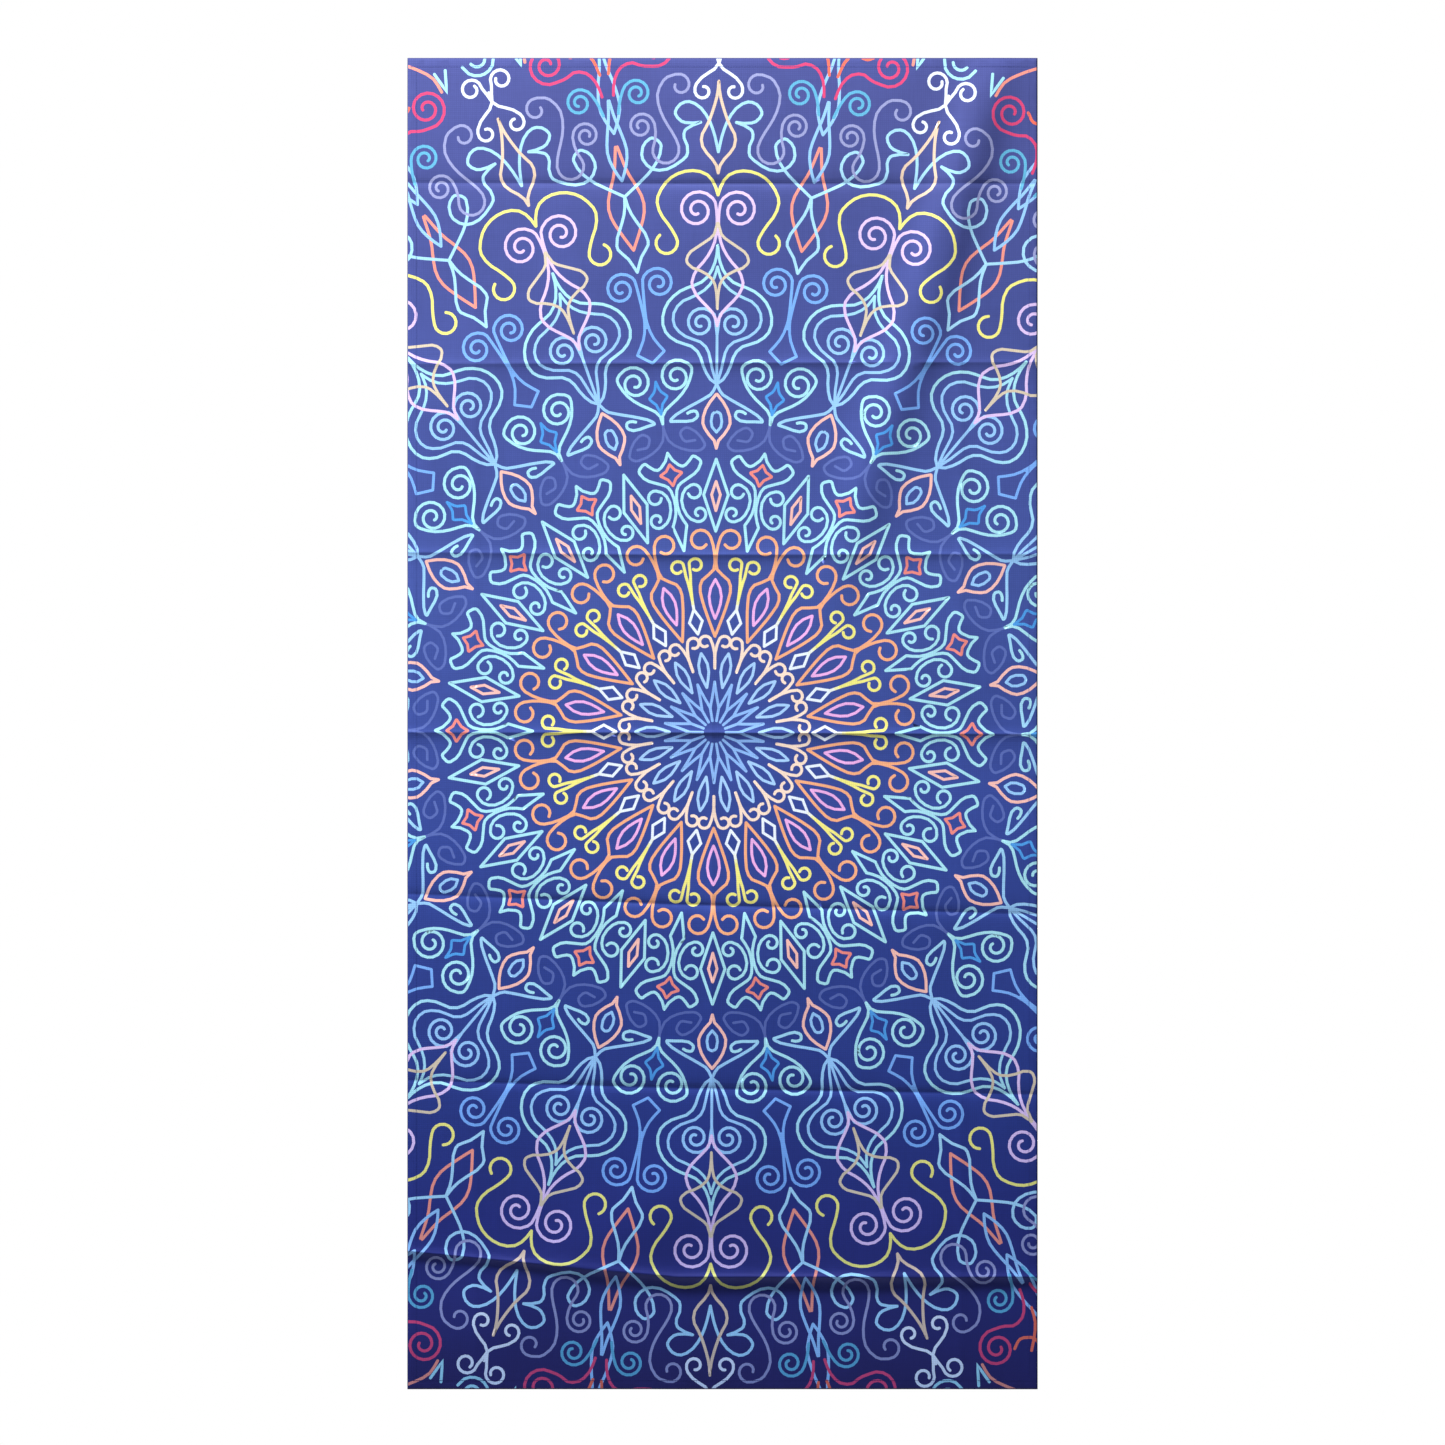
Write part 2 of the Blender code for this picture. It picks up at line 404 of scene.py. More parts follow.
draw(through((8.5, 701), (13, 716), (19.5, 728.5), *curl((33, 720), 15.5, 3.8, -40, 520)), TEAL,
     between=True, cover=0.85)

# %% Red and orange near the corners
crimson = through((6.5, 722), (10.5, 739), (20, 751.5), (33, 754.5), (44, 749),
                  *curl((62, 767.5), 22.5, 4.5, 208, -440))
draw(crimson, CRIMSON, between=True)
draw(through((5, 746.5), (9, 762.5), (17.5, 776), (29, 789.5)), FLAME, between=True)
draw(through((16, 796), (20, 778), (34, 771.5), (45, 778)), FLAME, between=True)
draw(through((86, 775), (85, 793), (73, 812), (55, 832)), SALMON, between=True)
draw(through(*curl((0, 800), 19, 19, -100, -260)), AQUA, single=True)
draw(through(*curl((0, 800), 9, 9, -110, -250)), AQUA, single=True)
draw(corners((38, 800), (44.5, 777), (51, 800)), AQUA)

print(len(strokes), "lines near one half slice,", sum(len(points) for points, *_ in strokes), "points")

# %% [markdown]
# ## Making the printed panel
#
# A print has crisp lines, so a coarse grid with a painted colour would blur it, and a grid fine
# enough would need millions of faces. Instead every line of dye in one half slice is turned into a
# strip of faces, and the strips are laid flat and triangulated together. Each triangle then lies
# wholly inside or outside the dye, and takes its colour from the last line laid over it. The half
# slice is mirrored and turned round the middle, and trimmed to the edges of the cloth.


# %% Colours and strips
def linear(hex_colour):
    """An sRGB hex colour as the linear numbers that Blender works in."""
    parts = [int(hex_colour[i : i + 2], 16) / 255 for i in (1, 3, 5)]
    return tuple(p / 12.92 if p <= 0.04045 else ((p + 0.055) / 1.055) ** 2.4 for p in parts)


def ink_at(inks, part):
    """The colour at a part (0 to 1) of a line printed with one ink or a run of several."""
    stops = np.array([linear(ink) for ink in inks])
    places = np.linspace(0, 1, len(stops))
    return [float(np.interp(part, places, stops[:, channel])) for channel in range(3)]


def strip(points, width):
    """The points either side of a line, and the points of a round end before and after it."""
    runs = np.diff(points, axis=0)
    runs = runs / np.hypot(*runs.T)[:, None]
    before = np.vstack([runs[:1], runs])
    after = np.vstack([runs, runs[-1:]])
    heading = before + after
    heading = heading / np.maximum(np.hypot(*heading.T), 1e-6)[:, None]
    side = np.stack([-heading[:, 1], heading[:, 0]], axis=1) * width / 2
    reach = 1 / np.clip((heading * after).sum(axis=1), 0.5, 1)[:, None]
    ends = []
    for point, out, across in ((points[0], -runs[0], side[0]), (points[-1], runs[-1], -side[-1])):
        past = [(math.cos(a) * across, math.sin(a) * out * width / 2) for a in (0.9, 2.24)]
        ends.append([point + along + beyond for along, beyond in past])
    return points + side * reach, points - side * reach, ends


# %% Lay out the dye of one half slice
REACH = 870.0
EDGE = SLICE / 2
edge_out = np.array((math.sin(EDGE), math.cos(EDGE)))
flat_points = []
flat_faces = []
face_colours = []


def in_wedge(points, margin=0.0):
    """Whether each point is in the half slice, between its axis and its edge."""
    points = np.asarray(points)
    past_axis = points[:, 0]
    short_of_edge = points[:, 1] * math.sin(EDGE) - points[:, 0] * math.cos(EDGE)
    return (past_axis > -margin) & (short_of_edge > -margin)


def turn_of(a, b, c):
    """Twice the signed area of a triangle: above zero where it runs anticlockwise."""
    return (b[0] - a[0]) * (c[1] - a[1]) - (b[1] - a[1]) * (c[0] - a[0])


def lay(face, colour):
    """Adds a face of dye, as anticlockwise triangles, where it touches the half slice."""
    for b, c in zip(face[1:], face[2:]):
        triangle = np.array([face[0], b, c])
        area = turn_of(*triangle)
        short_of_edge = triangle[:, 1] * math.sin(EDGE) - triangle[:, 0] * math.cos(EDGE)
        if abs(area) > 1e-3 and triangle[:, 0].max() > 0.01 and short_of_edge.max() > 0.01:
            base = len(flat_points)
            flat_points.extend(triangle if area > 0 else triangle[::-1])
            flat_faces.append([base, base + 1, base + 2])
            face_colours.append(colour)


for points, inks, width, cover in strokes:
    left, right, (first_end, last_end) = strip(points, width)
    count = len(points)
    lay([left[0], *first_end, right[0]], (*ink_at(inks, 0), cover))
    for i in range(count - 1):
        colour = (*ink_at(inks, (i + 0.5) / (count - 1)), cover)
        lay([left[i], left[i + 1], right[i + 1], right[i]], colour)
    lay([right[-1], *last_end, left[-1]], (*ink_at(inks, 1), cover))
print(len(flat_faces), "faces of dye in the half slice")

# %% Points between the lines, so that the blank ground can bend as well
SPACING = 9.0
outward = np.arange(SPACING, REACH, SPACING)
first_border = len(flat_points)
axis_points = [(0.0, 0.0), *((0.0, out) for out in outward)]
edge_points = [tuple(edge_out * out) for out in outward[::-1]]
flat_points.extend(axis_points + edge_points)
border = list(range(first_border, len(flat_points)))
border_edges = list(zip(border, border[1:] + border[:1]))


def near(points, others, reach):
    """For each point, whether one of the others is within about reach of it."""
    cells = {tuple(cell) for cell in np.floor(np.array(others) / reach).astype(int)}
    found = []
    for column, row in np.floor(np.array(points) / reach).astype(int):
        around = ((column + i, row + j) for i in (-1, 0, 1) for j in (-1, 0, 1))
        found.append(any(cell in cells for cell in around))
    return np.array(found)


blank = np.array([(x, y) for y in outward for x in np.arange(4.5, 155, SPACING)])
blank = blank[in_wedge(blank, -3)]
blank = blank[~near(blank, flat_points, 3.2)]
flat_points.extend(blank)
print(len(border), "points round the half slice and", len(blank), "inside it")

# %% Triangulate the half slice
result = delaunay_2d_cdt([Vector(p) for p in flat_points], border_edges, flat_faces, 0, 1e-4, True)
slice_points = np.array([tuple(p) for p in result[0]])
slice_triangles = []
slice_colours = []
for face, sources in zip(result[2], result[5]):
    centre = slice_points[list(face)].mean(axis=0)
    if in_wedge([centre])[0] and centre @ edge_out < REACH - SPACING:
        slice_triangles.append(tuple(face))
        slice_colours.append(face_colours[max(sources)] if sources else (0.0, 0.0, 0.0, 0.0))
slice_triangles = np.array(slice_triangles)
slice_colours = np.array(slice_colours)
print(len(slice_triangles), "triangles in the half slice")

# %% Turn it round the middle to make the whole roundel
# The printed roundel isn't a true circle: it is a little narrow, more so towards the bottom, and its
# top and bottom sit up to 5 mm higher than a circle's would. It leans by a fraction of a degree.
MIDDLE = (-9.2, 760.0)
SQUEEZE = 0.988
NARROWING = 0.009
PULL = 5.0
LEAN = math.radians(0.4)
half_wide = WIDTH / MM / 2
tall = HEIGHT / MM
all_points = []
all_triangles = []
all_colours = []
for number in range(SLICES):
    for flip in (1, -1):
        points = turned(slice_points * (flip, 1), number * SLICE + LEAN)
        low = -points[:, 1] / (tall / 2)
        points[:, 0] = MIDDLE[0] + points[:, 0] * (SQUEEZE - NARROWING * low)
        points[:, 1] = MIDDLE[1] - points[:, 1] - PULL * low**2
        corner_points = points[slice_triangles]
        low = corner_points.min(axis=1)
        high = corner_points.max(axis=1)
        kept = (high[:, 0] > -half_wide) & (low[:, 0] < half_wide) & (high[:, 1] > 0) & (low[:, 1] < tall)
        faces = slice_triangles[kept][:, ::flip] + len(all_points) * len(slice_points)
        all_points.append(points)
        all_triangles.append(faces)
        all_colours.append(slice_colours[kept])
all_points = np.vstack(all_points)
all_triangles = np.vstack(all_triangles)
all_colours = np.vstack(all_colours)
used, all_triangles = np.unique(all_triangles, return_inverse=True)
all_triangles = all_triangles.reshape(-1, 3)
all_points = all_points[used]
print(len(all_triangles), "triangles over the cloth")

# %% Trim it to the cloth, and cut it along the fold lines so that they can be sharp
x = all_points[:, 0] * MM
z = TOP - all_points[:, 1] * MM
cloth_mesh = bpy.data.meshes.new("cloth_panel")
cloth_mesh.from_pydata(np.stack([x, 0 * x, z], axis=1).tolist(), [], all_triangles.tolist())
colours = cloth_mesh.color_attributes.new("print", "FLOAT_COLOR", "CORNER")
colours.data.foreach_set("color", np.repeat(all_colours, 3, axis=0).ravel())
work = bmesh.new()
work.from_mesh(cloth_mesh)
bmesh.ops.remove_doubles(work, verts=work.verts, dist=0.12 * MM)


def cut(place, normal, trim=False, reach=None, span=(-1, 1)):
    """Cuts the flat cloth along a line; with trim, what is past the line is removed.

    Reach is how far from the line to look for faces, and span is from where to where across.
    """
    place = Vector(place)
    normal = Vector(normal).normalized()
    faces = work.faces[:]
    if reach:
        faces = [face for face in faces if abs((face.verts[0].co - place) @ normal) < reach]
        faces = [face for face in faces if span[0] < face.verts[0].co.x < span[1]]
    edges = {edge for face in faces for edge in face.edges}
    verts = {vert for face in faces for vert in face.verts}
    bmesh.ops.bisect_plane(
        work,
        geom=[*verts, *edges, *faces],
        dist=0.002 * MM,
        plane_co=place,
        plane_no=normal,
        clear_outer=trim,
    )


sides = [
    ((LEFT, 0, 0), (-1, 0, 0)),
    ((RIGHT, 0, 0), (1, 0, 0)),
    ((0, 0, TOP), (0, 0, 1)),
    ((0, 0, BOTTOM), (0, 0, -1)),
]
# Cuts beside the edges and the fold lines, in mm, so that the cloth can bend sharply there.
EDGE_ROLL = 1.9
# How far in from each edge the painted edge shade reaches, in mm.
PAINTED_EDGE_SHADE_WIDTH = 1.1
EDGE_CUTS = (0.5, PAINTED_EDGE_SHADE_WIDTH, EDGE_ROLL)
FOLD_CUTS = (-7.5, -3.6, -1.2, 0.0, 1.2, 3.6, 7.5)
for place, normal in sides:
    cut(place, normal, trim=True)
for place, normal in sides:
    for inset in EDGE_CUTS:
        cut(Vector(place) - Vector(normal) * inset * MM, normal, reach=0.03)
for left, middle, right, *_ in ACROSS:
    for offset in FOLD_CUTS:
        bend = Vector((BEND * MM, 0, TOP - (middle + offset) * MM))
        left_run = bend - Vector((LEFT, 0, TOP - (left + offset) * MM))
        right_run = Vector((RIGHT, 0, TOP - (right + offset) * MM)) - bend
        cut(bend, (-left_run.z, 0, left_run.x), reach=0.02, span=(-1, BEND * MM))
        cut(bend, (-right_run.z, 0, right_run.x), reach=0.02, span=(BEND * MM, 1))
for place, height in DOWN:
    for offset in (-1.5, 1.5):
        cut(((place + offset) * MM, 0, 0), (1, 0, 0), reach=0.03)
bmesh.ops.triangulate(work, faces=[face for face in work.faces if len(face.verts) > 3])

# The outermost millimetre is painted darker: painted shade where the cloth turns away over its hemmed edge.
painted_edge_shade = (*linear("#10154A"), 0.8)
dye_layer = work.loops.layers.float_color["print"]
for face in work.faces:
    middle = face.calc_center_median()
    inside = min(middle.x - LEFT, RIGHT - middle.x, TOP - middle.z, middle.z - BOTTOM)
    if inside < PAINTED_EDGE_SHADE_WIDTH * MM:
        for loop in face.loops:
            loop[dye_layer] = painted_edge_shade
work.to_mesh(cloth_mesh)
work.free()
print(len(cloth_mesh.polygons), "triangles on the front after trimming and cutting")


# %% Stand it up: fold lines, rolls, and the roll of the cloth over its hemmed edges
ROLL_DEPTH = 1.3 * MM


def edge_roll(x, z):
    """How far the cloth turns back, in metres, where it rolls over its hemmed edge."""
    inside = np.minimum.reduce([x - LEFT, RIGHT - x, TOP - z, z - BOTTOM]) / MM
    part = np.clip(1 - np.maximum(inside, 0) / EDGE_ROLL, 0, 1)
    return ROLL_DEPTH * (1 - np.sqrt(1 - part**2))


def points_of(mesh):
    """A mesh's points as an array."""
    points = np.empty(len(mesh.vertices) * 3)
    mesh.vertices.foreach_get("co", points)
    return points.reshape(-1, 3)


places = points_of(cloth_mesh)
places[:, 1] = -forward(places[:, 0], places[:, 2]) + edge_roll(places[:, 0], places[:, 2])
cloth_mesh.vertices.foreach_set("co", places.ravel())
cloth_mesh.update()
cloth = bpy.data.objects.new("cloth_panel", cloth_mesh)
bpy.context.scene.collection.objects.link(cloth)
facing = sum(polygon.normal.y * polygon.area for polygon in cloth_mesh.polygons)
print(f"the front faces {'forward' if facing < 0 else 'back'}, {abs(facing):.3f} square metres")


# %% Shade it smooth, and give it its own flat map for the print
def only(obj):
    """Deselects everything, then makes this object the one selected and active."""
    bpy.ops.object.select_all(action="DESELECT")
    obj.select_set(True)
    bpy.context.view_layer.objects.active = obj


only(cloth)
bpy.ops.object.shade_smooth()
corners_of_faces = np.empty(len(cloth_mesh.loops), int)
cloth_mesh.loops.foreach_get("vertex_index", corners_of_faces)
places = points_of(cloth_mesh)[corners_of_faces]
MARGIN = 0.004
u = MARGIN + (1 - 2 * MARGIN) * (places[:, 0] - LEFT) / WIDTH
v = MARGIN + (1 - 2 * MARGIN) * (places[:, 2] - BOTTOM) / HEIGHT
print_map = cloth_mesh.uv_layers.new(name="OFBake")
print_map.data.foreach_set("uv", np.stack([u, v], axis=1).ravel())
print(len(cloth_mesh.polygons), "triangles in the panel")

# %% [markdown]
# ## Hems
#
# On the real panel each edge is turned to the back twice and sewn, so a hem is a band about
# 12 mm wide with a rounded fold on each side. It is added as a box, its long edges are bevelled
# round, it is cut into short lengths, and its points then follow the cloth that it is sewn to.

# %% Hem bands
GAP = abs(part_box("top_hem")[0][1] - CLOTH_BACK)
EDGE_INSET = EDGE_ROLL * MM


def hem_band(name, low, high):
    """A band between two corners, with round long edges, which follows the cloth."""
    size = Vector(high) - Vector(low)
    bpy.ops.object.select_all(action="DESELECT")
    bpy.ops.mesh.primitive_cube_add(size=1, location=(Vector(low) + Vector(high)) / 2)
    band = bpy.context.object
    band.name = name
    band.data.name = name
    band.scale = size
    bpy.ops.object.transform_apply(location=True, rotation=True, scale=True)
    along = 0 if size.x > size.z else 2
    bpy.ops.object.mode_set(mode="EDIT")
    bpy.ops.mesh.select_mode(type="EDGE")
    bpy.ops.mesh.select_all(action="DESELECT")
    work = bmesh.from_edit_mesh(band.data)
    for edge in work.edges:
        run = edge.verts[1].co - edge.verts[0].co
        edge.select_set(abs(run[along]) > 0.1)
    bmesh.update_edit_mesh(band.data)
    bpy.ops.mesh.bevel(offset=0.42 * size.y, segments=3, affect="EDGES")
    bpy.ops.mesh.select_all(action="DESELECT")
    work = bmesh.from_edit_mesh(band.data)
    for edge in work.edges:
        run = edge.verts[1].co - edge.verts[0].co
        edge.select_set(abs(run[along]) > 0.1)
    bmesh.update_edit_mesh(band.data)
    bpy.ops.mesh.subdivide(number_cuts=round(size[along] / 0.006))
    bpy.ops.object.mode_set(mode="OBJECT")
    points = points_of(band.data)
    pucker = 0.06 * MM * np.sin(points[:, along] / MM * 2 * math.pi / 11)
    points[:, 1] += pucker - forward(points[:, 0], points[:, 2])
    band.data.vertices.foreach_set("co", points.ravel())
    bpy.ops.object.shade_smooth_by_angle(angle=math.radians(50))
    return band


hem_front = THICKNESS + GAP
hem_back = hem_front + HEM_THICKNESS
side_top = TOP - HEM_WIDTH - GAP
side_bottom = BOTTOM + HEM_WIDTH + GAP
hems = {
    "top": hem_band(
        "top_hem_band",
        (LEFT + EDGE_INSET, hem_front, TOP - HEM_WIDTH),
        (RIGHT - EDGE_INSET, hem_back, TOP - EDGE_INSET),
    ),
    "bottom": hem_band(
        "bottom_hem_band",
        (LEFT + EDGE_INSET, hem_front, BOTTOM + EDGE_INSET),
        (RIGHT - EDGE_INSET, hem_back, BOTTOM + HEM_WIDTH),
    ),
    "left": hem_band(
        "left_hem_band",
        (LEFT + EDGE_INSET, hem_front, side_bottom),
        (LEFT + HEM_WIDTH, hem_back, side_top),
    ),
    "right": hem_band(
        "right_hem_band",
        (RIGHT - HEM_WIDTH, hem_front, side_bottom),
        (RIGHT - EDGE_INSET, hem_back, side_top),
    ),
}
for side, band in hems.items():
    print(side, "hem:", len(band.data.polygons), "faces")

# %% [markdown]
# ## Seams
#
# A lockstitch has a needle thread on the front and a bobbin thread on the back. Each shows as a
# row of short stitches, every one a small bridge of thread that dives into the cloth at both
# ends. One stitch is modelled from a cylinder, and a row is made of copies of it.

# %% One stitch
STITCH = 3.0 * MM
STITCH_GAP = 0.35 * MM
bpy.ops.object.select_all(action="DESELECT")
bpy.ops.mesh.primitive_cylinder_add(
    vertices=6, radius=THREAD / 2, depth=STITCH - STITCH_GAP, rotation=(0, math.pi / 2, 0)
)
stitch = bpy.context.object
bpy.ops.object.transform_apply(location=True, rotation=True, scale=True)
bpy.ops.object.mode_set(mode="EDIT")
bpy.ops.mesh.select_mode(type="EDGE")
bpy.ops.mesh.select_all(action="DESELECT")
work = bmesh.from_edit_mesh(stitch.data)
for edge in work.edges:
    run = edge.verts[1].co - edge.verts[0].co
    edge.select_set(abs(run.x) > THREAD)
bmesh.update_edit_mesh(stitch.data)
bpy.ops.mesh.subdivide(number_cuts=3)
bpy.ops.object.mode_set(mode="OBJECT")
stitch_points = points_of(stitch.data)
stitch_points[:, 1] += 0.16 * MM * (np.abs(stitch_points[:, 0]) / (STITCH / 2)) ** 3
stitch_faces = [tuple(polygon.vertices) for polygon in stitch.data.polygons]
bpy.data.objects.remove(stitch)
print("one stitch:", len(stitch_points), "points,", len(stitch_faces), "faces")


# %% Rows of stitches
def seam(name, start, end, depth, facing):
    """A row of stitches from start to end (x, z), at a depth behind the cloth's front."""
    start = np.array(start)
    run = np.array(end) - start
    count = int(np.hypot(*run) / STITCH)
    run = run / np.hypot(*run)
    points = []
    faces = []
    for number in range(count):
        middle = start + run * STITCH * (number + 0.5)
        slant = 0.05 * MM * math.sin(number * 2.4)
        base = len(points) * len(stitch_points)
        x = middle[0] + run[0] * stitch_points[:, 0] - run[1] * (stitch_points[:, 2] + slant)
        z = middle[1] + run[1] * stitch_points[:, 0] + run[0] * (stitch_points[:, 2] + slant)
        y = depth + facing * stitch_points[:, 1] - forward(x, z)
        points.append(np.stack([x, y, z], axis=1))
        faces.extend(tuple(base + index for index in face) for face in stitch_faces)
    mesh = bpy.data.meshes.new(name)
    mesh.from_pydata(np.vstack(points).tolist(), [], faces)
    row = bpy.data.objects.new(name, mesh)
    bpy.context.scene.collection.objects.link(row)
    only(row)
    bpy.ops.object.mode_set(mode="EDIT")
    bpy.ops.mesh.select_all(action="SELECT")
    bpy.ops.mesh.normals_make_consistent(inside=False)
    bpy.ops.object.mode_set(mode="OBJECT")
    bpy.ops.object.shade_smooth_by_angle(angle=math.radians(60))
    return row


in_left = LEFT + SEAM_IN
in_right = RIGHT - SEAM_IN
in_top = TOP - SEAM_IN
in_bottom = BOTTOM + SEAM_IN
seam_lines = {
    "top": ((LEFT + 3 * MM, in_top), (RIGHT - 3 * MM, in_top)),
    "bottom": ((LEFT + 3 * MM, in_bottom), (RIGHT - 3 * MM, in_bottom)),
    "left": ((in_left, in_bottom + 3 * MM), (in_left, in_top - 3 * MM)),
    "right": ((in_right, in_bottom + 3 * MM), (in_right, in_top - 3 * MM)),
}
needle_depth = -0.1 * THREAD
bobbin_depth = hem_back + 0.3 * THREAD
stitches = {}
for side, (start, end) in seam_lines.items():
    stitches[side] = (
        seam(f"{side}_needle_stitches", start, end, needle_depth, 1),
        seam(f"{side}_bobbin_stitches", start, end, bobbin_depth, -1),
    )
    print(side, "seam:", len(stitches[side][0].data.polygons), "faces a row")

# %% [markdown]
# ## Finishes
#
# The panel is filament polyester in a plain weave, printed by heat transfer: the dye sits in the
# threads, so lines and ground share one soft, slightly silky surface. The reverse shows the same
# print, paler. The hems are the printed face turned to the back, and the thread is spun polyester
# dyed to match the ground.


# %% A function that adds a node
def add(tree, kind, inputs=None, **settings):
    """Adds a shader node, sets its settings, and sets or links its inputs."""
    made = tree.nodes.new("ShaderNode" + kind)
    for name, value in settings.items():
        setattr(made, name, value)
    for name, value in (inputs or {}).items():
        if isinstance(value, bpy.types.NodeSocket):
            tree.links.new(value, made.inputs[name])
        else:
            made.inputs[name].default_value = value
    return made


def new_material(name, roughness, specular, sheen=0.0, sheen_roughness=0.5):
    """An empty material with its surface shader: (material, its tree, the shader)."""
    material = bpy.data.materials.new(name)
    material.use_nodes = True
    tree = material.node_tree
    tree.nodes.clear()
    shader = add(
        tree,
        "BsdfPrincipled",
        {
            "Roughness": roughness,
            "Specular IOR Level": specular,
            "IOR": 1.5,
            "Sheen Weight": sheen,
            "Sheen Roughness": sheen_roughness,
        },
    )
    add(tree, "OutputMaterial", {"Surface": shader.outputs["BSDF"]})
    return material, tree, shader


# %% The blue ground and the weave, shared by the cloth's finishes
# The ground runs from deep navy at the bottom to a lighter blue at the top: partly the print's own run of
# colour, partly painted shade, darker towards the bottom where less light falls. It is a little blotchy,
# as transfer dye is over a large flat area.
GROUND_AND_PAINTED_SHADE = [
    (0.0, "#10155A"),
    (0.13, "#182679"),
    (0.22, "#1E3385"),
    (0.4, "#2E4498"),
    (0.6, "#3E52A1"),
    (0.8, "#424F98"),
    (0.97, "#485196"),
]
# The real threads are about 0.3 mm apart, too fine to show, so the weave is drawn at 2.2 mm.
WEAVE = 2.2 * MM


def ground_and_painted_shade(tree):
    """Sockets: the ground's colour with its painted shade towards the bottom, and the Object coordinates it
    reads.
    """
    place = add(tree, "TexCoord").outputs["Object"]
    parts = add(tree, "SeparateXYZ", {"Vector": place})
    height = add(
        tree,
        "MapRange",
        {"Value": parts.outputs["Z"], "From Min": float(BOTTOM), "From Max": float(TOP)},
    )
    ramp = add(tree, "ValToRGB", {"Fac": height.outputs["Result"]})
    stops = ramp.color_ramp.elements
    while len(stops) < len(GROUND_AND_PAINTED_SHADE):
        stops.new(0.5)
    for stop, (position, colour) in zip(stops, GROUND_AND_PAINTED_SHADE):
        stop.position = position
        stop.color = (*linear(colour), 1)
    blotches = add(tree, "TexNoise", {"Vector": place, "Scale": 9.0, "Detail": 3.0, "Roughness": 0.6})
    amount = add(
        tree,
        "MapRange",
        {
            "Value": blotches.outputs["Fac"],
            "From Min": 0.3,
            "From Max": 0.7,
            "To Min": 0.93,
            "To Max": 1.07,
        },
    )
    mixed = add(tree, "VectorMath", {0: ramp.outputs["Color"]}, operation="SCALE")
    tree.links.new(amount.outputs["Result"], mixed.inputs["Scale"])
    return mixed.outputs["Vector"], place


def weave_height(tree, place):
    """A socket from 0 to 1: the threads' height, warp and weft with uneven, slubby yarn."""
    warp = add(tree, "TexWave", {"Vector": place, "Scale": 0.314 / WEAVE}, bands_direction="X")
    weft = add(tree, "TexWave", {"Vector": place, "Scale": 0.314 / WEAVE}, bands_direction="Z")
    threads = add(
        tree, "Math", {0: warp.outputs["Fac"], 1: weft.outputs["Fac"]}, operation="MULTIPLY"
    )
    long_yarn = add(tree, "Mapping", {"Vector": place, "Scale": (420.0, 1.0, 28.0)})
    cross_yarn = add(tree, "Mapping", {"Vector": place, "Scale": (24.0, 1.0, 420.0)})
    slub_a = add(tree, "TexNoise", {"Vector": long_yarn.outputs["Vector"], "Scale": 1.0, "Detail": 2.0})
    slub_b = add(tree, "TexNoise", {"Vector": cross_yarn.outputs["Vector"], "Scale": 1.0, "Detail": 2.0})
    slubs = add(tree, "Math", {0: slub_a.outputs["Fac"], 1: slub_b.outputs["Fac"]}, operation="ADD")
    halved = add(tree, "Math", {0: slubs.outputs["Value"], 1: 0.5}, operation="MULTIPLY")
    return add(
        tree,
        "Mix",
        {"Factor": 0.65, 2: threads.outputs["Value"], 3: halved.outputs["Value"]},
    ).outputs["Result"]


def finish_cloth(tree, shader, colour, weave, relief, shade, roughness):
    """Links the colour, shaded a little by the weave, the roughness and the bump."""
    darker = add(
        tree,
        "MapRange",
        {"Value": weave, "From Min": 0.2, "From Max": 0.8, "To Min": 1 - shade, "To Max": 1 + shade},
    )
    shaded = add(tree, "VectorMath", {0: colour}, operation="SCALE")
    tree.links.new(darker.outputs["Result"], shaded.inputs["Scale"])
    tree.links.new(shaded.outputs["Vector"], shader.inputs["Base Color"])
    rough = add(
        tree,
        "MapRange",
        {"Value": weave, "To Min": roughness - 0.05, "To Max": roughness + 0.06},
    )
    tree.links.new(rough.outputs["Result"], shader.inputs["Roughness"])
    bump = add(tree, "Bump", {"Height": weave, "Strength": relief, "Distance": 0.25 * MM})
    tree.links.new(bump.outputs["Normal"], shader.inputs["Normal"])


# %% Printed panel: transfer-printed filament polyester, woven
# A soft, slightly silky surface: broad dull highlights, bright clean dye, faint thread lines.
# Lines and ground are drawn darker and cooler towards the bottom: on the lines this is painted shade, on
# the ground partly painted shade and partly the print's own run of colour.
# The dye is pressed into one side only, so the reverse shows the same print, paler and greyer.
panel_finish, tree, shader = new_material("transfer_printed_woven_polyester", 0.6, 0.22, 0.04, 0.45)
ground_with_shade, place = ground_and_painted_shade(tree)
dye = add(tree, "Attribute", attribute_name="print")
uneven = add(tree, "TexNoise", {"Vector": place, "Scale": 30.0, "Detail": 2.0})
strength = add(
    tree,
    "MapRange",
    {"Value": uneven.outputs["Fac"], "From Min": 0.3, "From Max": 0.7, "To Min": 0.94, "To Max": 1.04},
)
